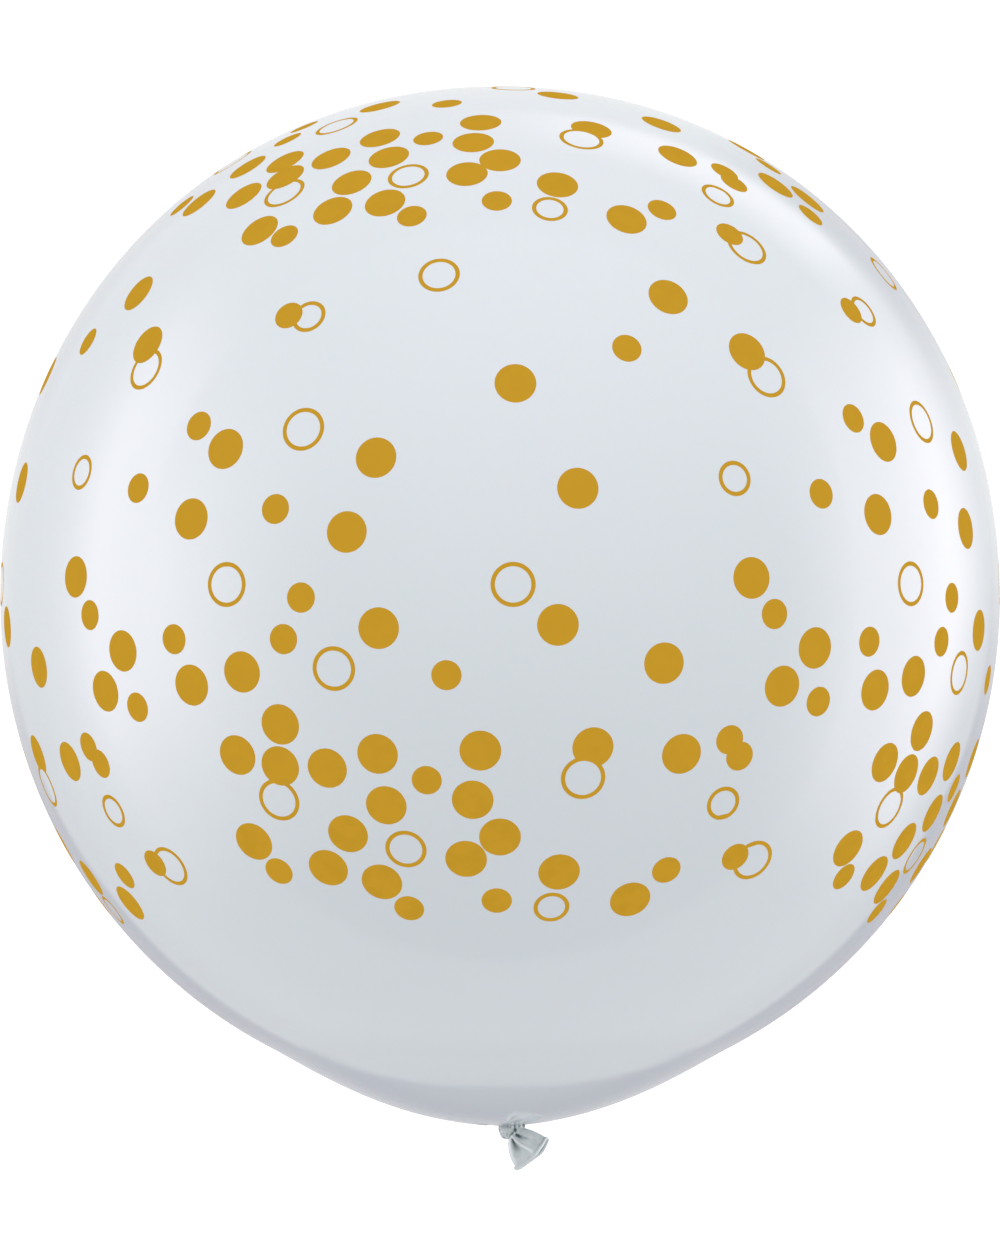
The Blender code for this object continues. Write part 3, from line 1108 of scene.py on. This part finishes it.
def add_reflector_board(settings):
    """Shows only in the gloss: bright fields to the left, the right and the crown's right, dark near the neck."""
    board, tree, shader = add_board("reflector_board", settings.floor, -0.001)
    board.visible_glossy = True
    x, y, _z = separate(tree, "Object")
    distance = length(tree, x, y)
    side = number(tree, "DIVIDE", x, distance)
    ahead = number(tree, "DIVIDE", y, distance)
    diagonal = total(tree, product(tree, side, 0.60), product(tree, ahead, 0.80))
    left_low = total(tree, 1.0, product(tree, soft_step(tree, ahead, -0.20, -0.55), -0.35))
    left = product(tree, soft_step(tree, distance, 0.72, 2.8), soft_step(tree, side, -0.62, -1.05), left_low)
    far_dimming = total(tree, 0.86, product(tree, soft_step(tree, distance, 3.4, 1.0), 0.14))
    nearer = product(tree, distance, total(tree, 1.0, product(tree, soft_step(tree, ahead, 0.05, -0.40), -0.16)))
    right = product(tree, soft_step(tree, nearer, 0.66, 1.3), soft_step(tree, side, 0.70, 1.05), far_dimming)
    arc = product(
        tree,
        soft_step(tree, distance, 0.83, 1.0),
        soft_step(tree, distance, 1.7, 1.1),
        soft_step(tree, diagonal, 0.72, 1.0),
        soft_step(tree, side, 0.83, 0.66),
    )
    aside = number(tree, "ABSOLUTE", side)
    behind = number(tree, "POWER", number(tree, "MINIMUM", product(tree, aside, 1.0 / 0.415), 1.0), 1.6)
    edge = total(
        tree,
        1.19,
        product(tree, behind, -0.44),
        product(tree, soft_step(tree, side, 0.35, 0.60), 0.03),
        product(tree, soft_step(tree, side, -0.75, -0.95), -0.06),
        product(tree, soft_step(tree, side, 0.88, 0.98), -0.07),
    )
    past_edge = number(tree, "SUBTRACT", distance, edge)
    band = number(
        tree,
        "MAXIMUM",
        soft_step(tree, past_edge, 0.045, -0.045),
        product(tree, soft_step(tree, past_edge, 0.50, 0.02), 0.27),
    )
    lowness = total(tree, ahead, product(tree, number(tree, "MAXIMUM", side, 0.0), -0.12))
    low = product(tree, band, soft_step(tree, lowness, 0.08, -0.5))
    corner = product(
        tree,
        soft_step(tree, distance, 0.97, 0.74),
        soft_step(tree, side, 0.35, 0.65),
        soft_step(tree, ahead, 0.3, 0.65),
        0.6,
    )
    upper_left = product(
        tree,
        soft_step(tree, distance, 0.80, 0.68),
        soft_step(tree, side, -0.35, -0.65),
        soft_step(tree, ahead, 0.2, 0.5),
        0.25,
    )
    at_limb = total(tree, -0.65, product(tree, soft_step(tree, aside, 0.30, 0.60), 0.22))
    deep = total(tree, 1.0, product(tree, soft_step(tree, distance, 0.85, 0.50), at_limb))
    shade = product(tree, total(tree, low, corner, upper_left), deep, settings.neck_shade)
    crown = product(tree, soft_step(tree, distance, 1.0, 2.2), soft_step(tree, ahead, 0.2, 0.9), 0.22)
    fields = total(
        tree,
        crown,
        product(tree, left, settings.left_glow),
        product(tree, right, settings.right_glow),
        product(tree, arc, settings.arc_glow),
    )
    shader.inputs["Base Color"].default_value = (0.0, 0.0, 0.0, 1.0)
    tree.links.new(warm_fields(tree, settings.card, fields, shade), shader.inputs["Emission Color"])
    shader.inputs["Emission Strength"].default_value = 1.0


def add_sky(settings):
    """Even light from all round, brighter towards the crown, with two soft boxes only for the gloss."""
    world = bpy.data.worlds.new("studio")
    bpy.context.scene.world = world
    world.use_nodes = True
    tree = world.node_tree
    background = tree.nodes["Background"]
    x, y, z = separate(tree, "Generated")
    rays = tree.nodes.new("ShaderNodeLightPath")
    gloss = rays.outputs["Is Glossy Ray"]
    aside = number(tree, "ABSOLUTE", total(tree, y, 0.05))
    left = product(
        tree, soft_step(tree, z, 0.85, 0.0), soft_step(tree, x, -0.1, -0.6), soft_step(tree, aside, 0.85, 0.05)
    )
    right = product(
        tree, soft_step(tree, z, 0.42, -0.15), soft_step(tree, x, 0.1, 0.6), soft_step(tree, aside, 0.75, 0.1)
    )
    boxes = total(tree, product(tree, left, settings.left_glow), product(tree, right, 0.8, settings.right_glow))
    plain = total(tree, settings.sky, product(tree, y, settings.sky_lean))
    lit = warm_fields(tree, plain, product(tree, gloss, boxes))
    backdrop = (settings.backdrop, settings.backdrop, settings.backdrop)
    tree.links.new(add_mix(tree, lit, backdrop, rays.outputs["Is Camera Ray"]), background.inputs["Color"])


def add_sun(settings):
    """Soft light from straight above, whose shadow hides under the body."""
    lamp = bpy.data.lights.new("sun", "SUN")
    lamp.energy = settings.sun
    lamp.angle = radians(40.0)
    thing = bpy.data.objects.new("sun", lamp)
    thing.visible_glossy = False
    bpy.context.scene.collection.objects.link(thing)


def add_camera(settings, shape):
    """Looks straight down with the crown up in the picture, from far off through a long lens."""
    camera = bpy.data.cameras.new("camera")
    camera.lens = settings.lens
    camera.dof.use_dof = False
    camera.sensor_width = SENSOR_WIDTH
    distance = camera_distance(settings.lens)
    camera.clip_start = 0.1
    camera.clip_end = 2.0 * distance
    thing = bpy.data.objects.new("camera", camera)
    across = (PICTURE_WIDTH / 2.0 - GIRTH_MIDDLE[0]) * METRES_PER_PIXEL
    along = (GIRTH_MIDDLE[1] - PICTURE_HEIGHT / 2.0) * METRES_PER_PIXEL
    thing.location = (across, along, shape.axis_height + distance)
    bpy.context.scene.collection.objects.link(thing)
    bpy.context.scene.camera = thing


class BALLOON_OT_set_stage(bpy.types.Operator):
    """Sets the camera, the pale floor and the soft studio light"""

    bl_idname = "balloon.set_stage"
    bl_label = "Stage"

    def execute(self, context):
        settings = context.scene.balloon_studio
        shape = context.scene.balloon_shape
        add_camera(settings, shape)
        context.scene.view_settings.view_transform = "Standard"
        add_floor(settings)
        add_bounce_board(settings)
        add_reflector_board(settings)
        add_sky(settings)
        add_sun(settings)
        return {"FINISHED"}


class BALLOON_PT_maker(bpy.types.Panel):
    """Lists the makers of the balloon's pieces and of its stage"""

    bl_idname = "BALLOON_PT_maker"
    bl_label = "Confetti Balloon"
    bl_space_type = "VIEW_3D"
    bl_region_type = "UI"
    bl_category = "Balloon"

    def draw(self, context):
        for operator in OPERATORS:
            self.layout.operator(operator.bl_idname)


SETTINGS = {
    "balloon_shape": BalloonShape,
    "balloon_print": BalloonPrint,
    "balloon_tail": BalloonTail,
    "balloon_finish": BalloonFinish,
    "balloon_studio": BalloonStudio,
}
OPERATORS = (BALLOON_OT_set_stage, BALLOON_OT_make_skin, BALLOON_OT_make_knot, BALLOON_OT_make_tail)


def register():
    for group in SETTINGS.values():
        bpy.utils.register_class(group)
    for name, group in SETTINGS.items():
        setattr(bpy.types.Scene, name, bpy.props.PointerProperty(type=group))
    for operator in OPERATORS:
        bpy.utils.register_class(operator)
    bpy.utils.register_class(BALLOON_PT_maker)


def unregister():
    bpy.utils.unregister_class(BALLOON_PT_maker)
    for operator in reversed(OPERATORS):
        bpy.utils.unregister_class(operator)
    for name, group in SETTINGS.items():
        delattr(bpy.types.Scene, name)
        bpy.utils.unregister_class(group)


def main():
    register()
    bpy.ops.balloon.set_stage()
    bpy.ops.balloon.make_skin()
    bpy.ops.balloon.make_knot()
    bpy.ops.balloon.make_tail()


if __name__ == "__main__":
    main()
